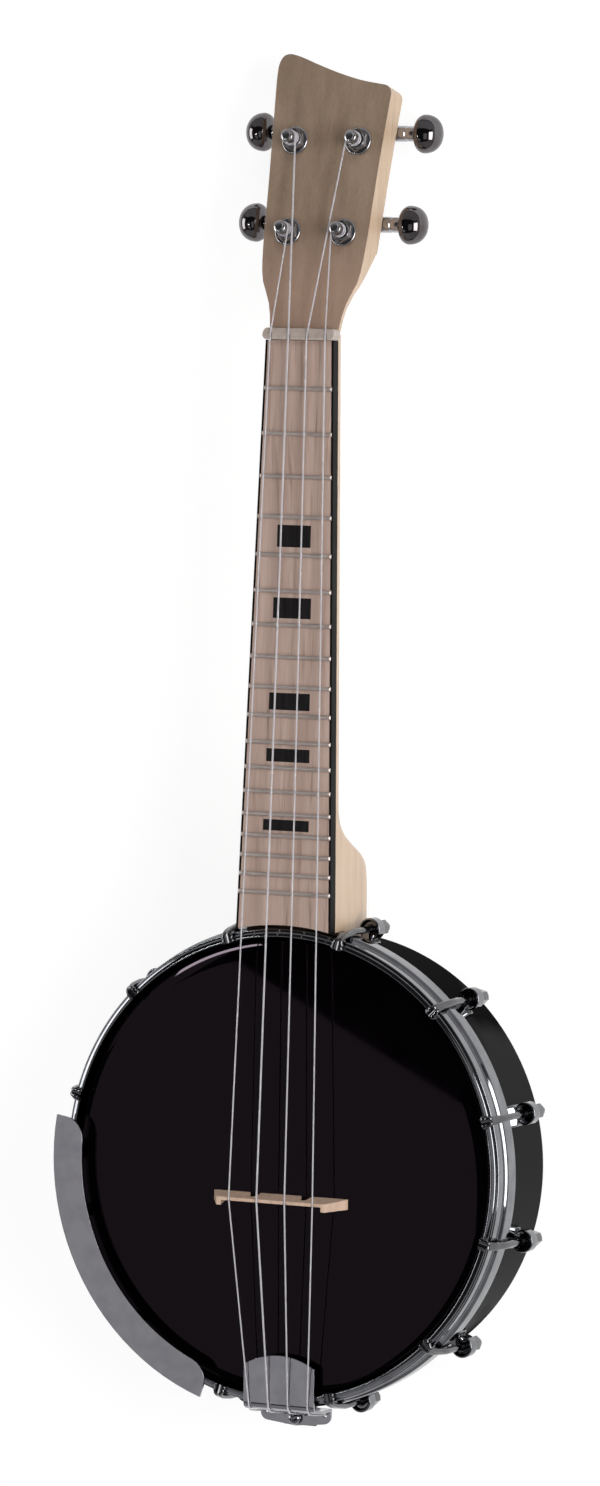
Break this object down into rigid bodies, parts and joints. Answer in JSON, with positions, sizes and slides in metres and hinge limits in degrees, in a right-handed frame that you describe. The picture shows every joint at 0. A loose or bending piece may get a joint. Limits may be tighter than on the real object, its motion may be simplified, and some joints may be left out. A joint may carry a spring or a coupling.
{
  "type": "banjo ukulele",
  "caption": "Open-back banjo ukulele: round pot with hooked tension hoop, black head, armrest and tailpiece, fretted neck with inlays, tilted headstock and geared tuners.",
  "frame": {"origin": "centre of the bounding box's base, which is the plane of the rim's rear edge", "axes": "+Y from the tailpiece towards the headstock, +Z out of the head towards the player's right hand, +X towards the treble side as seen from the front with the headstock up"},
  "size_m": [0.2262, 0.6142, 0.0714],
  "materials": {
    "pale_wood": "satin",
    "board_wood": "satin",
    "black_lacquer": "gloss",
    "black_plastic": "satin",
    "bone_plastic": "satin",
    "black_skin": "gloss",
    "chrome": "polished",
    "nylon": "satin"
  },
  "bodies": {
    "body": {"neck": "pale_wood", "fingerboard": "board_wood", "binding": "black_plastic", "nut": "bone_plastic", "tuner_housing_1": "chrome", "tuner_bushing_1": "chrome", "tuner_housing_2": "chrome", "tuner_bushing_2": "chrome", "tuner_housing_3": "chrome", "tuner_bushing_3": "chrome", "tuner_housing_4": "chrome", "tuner_bushing_4": "chrome", "string_1": "nylon", "string_2": "nylon", "string_3": "nylon", "string_4": "nylon", "bridge": "pale_wood", "rim": "black_lacquer", "head": "black_skin", "tension_hoop": "chrome", "hook_01": "chrome", "hook_02": "chrome", "hook_03": "chrome", "hook_04": "chrome", "hook_05": "chrome", "hook_06": "chrome", "hook_07": "chrome", "hook_08": "chrome", "hook_09": "chrome", "hook_10": "chrome", "hook_11": "chrome", "hook_12": "chrome", "shoe_01": "chrome", "shoe_02": "chrome", "shoe_03": "chrome", "shoe_04": "chrome", "shoe_05": "chrome", "shoe_06": "chrome", "shoe_07": "chrome", "shoe_08": "chrome", "shoe_09": "chrome", "shoe_10": "chrome", "shoe_11": "chrome", "shoe_12": "chrome", "armrest": "chrome", "tailpiece": "chrome", "tail_bracket": "chrome", "hanger_bolt": "chrome", "tail_bolt": "chrome", "coordinator_rod": "chrome", "rod_nut": "chrome"},
    "button_1": {"tuner_button_1": "chrome"},
    "button_2": {"tuner_button_2": "chrome"},
    "button_3": {"tuner_button_3": "chrome"},
    "button_4": {"tuner_button_4": "chrome"},
    "post_1": {"tuner_post_1": "chrome"},
    "post_2": {"tuner_post_2": "chrome"},
    "post_3": {"tuner_post_3": "chrome"},
    "post_4": {"tuner_post_4": "chrome"}
  },
  "joints": [
    {"name": "button_1_turn", "type": "hinge", "parent": "body", "child": "button_1", "pos_m": [-0.0393, 0.23153, 0.02507], "axis": [-1, 0, 0], "continuous": true},
    {"name": "button_2_turn", "type": "hinge", "parent": "body", "child": "button_2", "pos_m": [-0.0413, 0.27217, 0.01531], "axis": [-1, 0, 0], "continuous": true},
    {"name": "button_3_turn", "type": "hinge", "parent": "body", "child": "button_3", "pos_m": [0.0413, 0.27217, 0.01531], "axis": [1, 0, 0], "continuous": true},
    {"name": "button_4_turn", "type": "hinge", "parent": "body", "child": "button_4", "pos_m": [0.0393, 0.23153, 0.02507], "axis": [1, 0, 0], "continuous": true},
    {"name": "post_1_turn", "type": "hinge", "parent": "body", "child": "post_1", "pos_m": [-0.0136, 0.2276, 0.04298], "axis": [0, 0.2334, 0.9724], "continuous": true},
    {"name": "post_2_turn", "type": "hinge", "parent": "body", "child": "post_2", "pos_m": [-0.0156, 0.26824, 0.03322], "axis": [0, 0.2334, 0.9724], "continuous": true},
    {"name": "post_3_turn", "type": "hinge", "parent": "body", "child": "post_3", "pos_m": [0.0156, 0.26824, 0.03322], "axis": [0, 0.2334, 0.9724], "continuous": true},
    {"name": "post_4_turn", "type": "hinge", "parent": "body", "child": "post_4", "pos_m": [0.0136, 0.2276, 0.04298], "axis": [0, 0.2334, 0.9724], "continuous": true}
  ],
  "couplings": [
    {"joint": "post_1_turn", "follows": "button_1_turn", "ratio": -0.071429},
    {"joint": "post_2_turn", "follows": "button_2_turn", "ratio": -0.071429},
    {"joint": "post_3_turn", "follows": "button_3_turn", "ratio": 0.071429},
    {"joint": "post_4_turn", "follows": "button_4_turn", "ratio": 0.071429}
  ]
}
